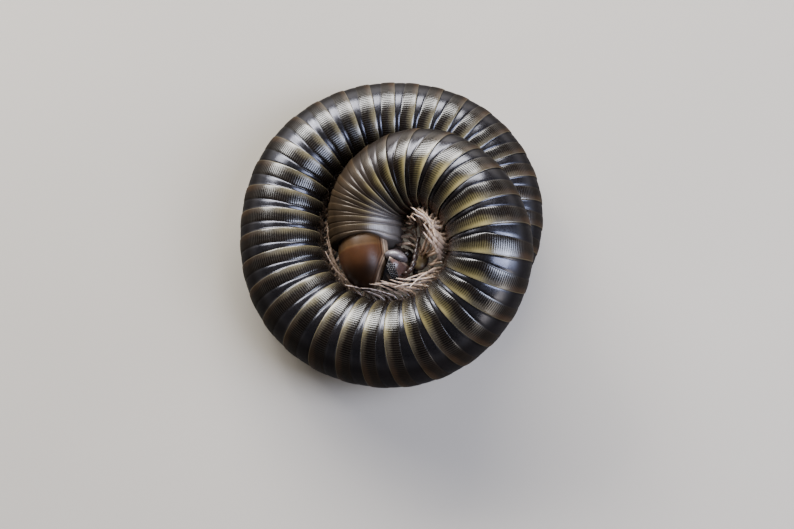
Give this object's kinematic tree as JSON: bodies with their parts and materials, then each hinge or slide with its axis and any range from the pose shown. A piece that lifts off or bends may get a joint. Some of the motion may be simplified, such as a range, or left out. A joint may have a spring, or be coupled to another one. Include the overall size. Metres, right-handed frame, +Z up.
{
  "type": "millipede model",
  "caption": "Life-size still model of a black julid millipede rolled up in its defensive coil, with pale-banded rings, head tucked into the middle and tail under the outer turn.",
  "frame": {"origin": "on the floor, under the middle of the coil's outer box", "axes": "+Z up from the floor; the animal is seen from the -Y side and from above, its coil winds clockwise from head to tail seen from above, and +X is to the right of that view"},
  "size_m": [0.014, 0.0148, 0.0079],
  "materials": {
    "body": "polished",
    "collum": "polished",
    "head": "satin",
    "eye": "polished",
    "antenna": "satin"
  },
  "bodies": {
    "root": {"head": "head", "eye_left": "eye", "eye_right": "eye", "antenna_left": "antenna", "antenna_right": "antenna", "collum": "collum", "rings_02_05": "body", "rings_06_09": "body", "rings_10_13": "body", "rings_14_17": "body", "rings_18_21": "body", "rings_22_25": "body", "rings_26_29": "body", "rings_30_33": "body", "rings_34_37": "body", "rings_38_41": "body", "rings_42_45": "body", "rings_46_49": "body", "rings_50_51": "body", "telson": "body"}
  },
  "joints": []
}
